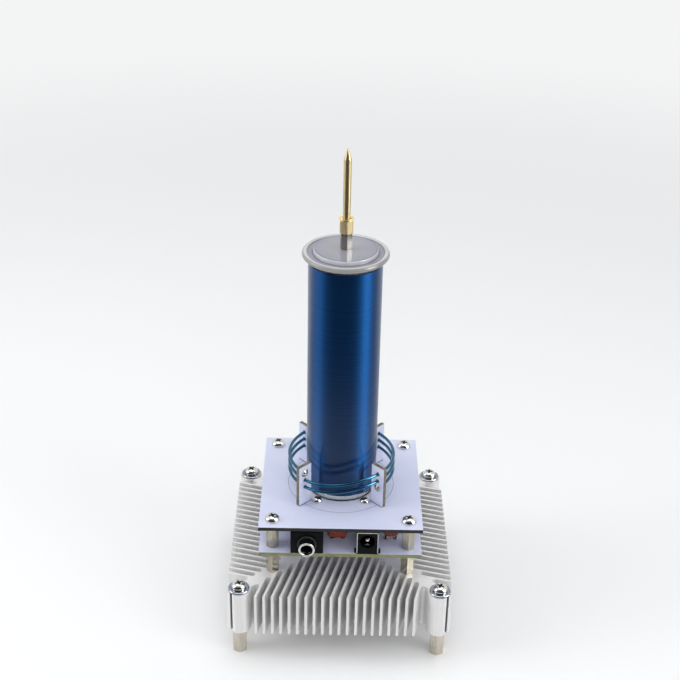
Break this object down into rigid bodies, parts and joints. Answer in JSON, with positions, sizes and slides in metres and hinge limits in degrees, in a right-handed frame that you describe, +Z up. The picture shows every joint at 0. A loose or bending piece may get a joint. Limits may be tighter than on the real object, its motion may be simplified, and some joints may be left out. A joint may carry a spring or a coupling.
{
  "type": "desktop resonant transformer",
  "caption": "Upright air-cored transformer coil with a brass discharge needle, on two stacked circuit boards and a square finned heat sink with hexagonal feet.",
  "frame": {"origin": "on the coil's axis, in the plane of the four feet's lower ends", "axes": "+Z up along the coil to the needle; -Y is the front, with the audio and power sockets; +X to the right seen from the front"},
  "size_m": [0.0926, 0.0926, 0.2071],
  "materials": {
    "aluminium_extrusion": "extruded and sawn, satin",
    "nickel_standoff": "nickel plate with a warm tint",
    "bright_screw": "bright nickel plate",
    "bright_washer": "bright nickel plate, lightly scratched",
    "white_board": "white solder mask on glass-fibre board",
    "clear_acrylic": "clear polished acrylic",
    "blue_enamelled_winding": "fine blue enamelled wire, glossy",
    "brass": "turned brass",
    "needle_brass": "turned brass, polished point",
    "teal_enamelled_wire": "teal enamelled wire, glossy",
    "solder": "tin solder",
    "black_plastic": "moulded black plastic",
    "nickel_nose": "nickel plate",
    "spring_metal": "tinned spring brass",
    "red_dipped_epoxy": "dipped epoxy",
    "dark_sleeve": "shrunk sleeve",
    "black_moulding": "moulded epoxy",
    "resistor_body": "lacquered ceramic",
    "grey_thermal_pad": "filled silicone"
  },
  "bodies": {
    "base": {"heat_sink": "aluminium_extrusion", "foot_standoffs": "nickel_standoff", "heat_sink_screws": "bright_screw", "heat_sink_washers": "bright_washer", "board_standoffs": "nickel_standoff", "board_screws": "bright_screw", "driver_board": "white_board", "coil_board": "white_board", "coil_former": "clear_acrylic", "secondary_winding": "blue_enamelled_winding", "coil_base_flange": "clear_acrylic", "coil_base_screws": "bright_screw", "coil_base_nuts": "nickel_standoff", "top_cap": "clear_acrylic", "terminal_screw": "bright_screw", "terminal_post": "nickel_standoff", "needle_collar": "brass", "bracket_front_left": "white_board", "bracket_front_right": "white_board", "bracket_back_left": "white_board", "bracket_back_right": "white_board", "primary_coil": "teal_enamelled_wire", "primary_solder_joints": "solder", "audio_socket_body": "black_plastic", "audio_socket_nose": "nickel_nose", "audio_socket_spring": "spring_metal", "power_socket_body": "black_plastic", "power_socket_pin": "spring_metal", "power_socket_spring": "spring_metal", "film_capacitor_middle": "red_dipped_epoxy", "film_capacitor_right": "red_dipped_epoxy", "electrolytic_capacitors": "dark_sleeve", "driver_chip": "black_moulding", "resistors": "resistor_body", "diodes": "black_moulding", "component_leads": "solder", "power_transistor": "black_moulding", "transistor_pad": "grey_thermal_pad", "transistor_screw": "bright_screw"},
    "needle": {"discharge_needle": "needle_brass"}
  },
  "joints": [
    {"name": "needle_lift", "type": "slide", "parent": "base", "child": "needle", "axis": [0, 0, 1], "range_m": [0, 0.0026]}
  ]
}
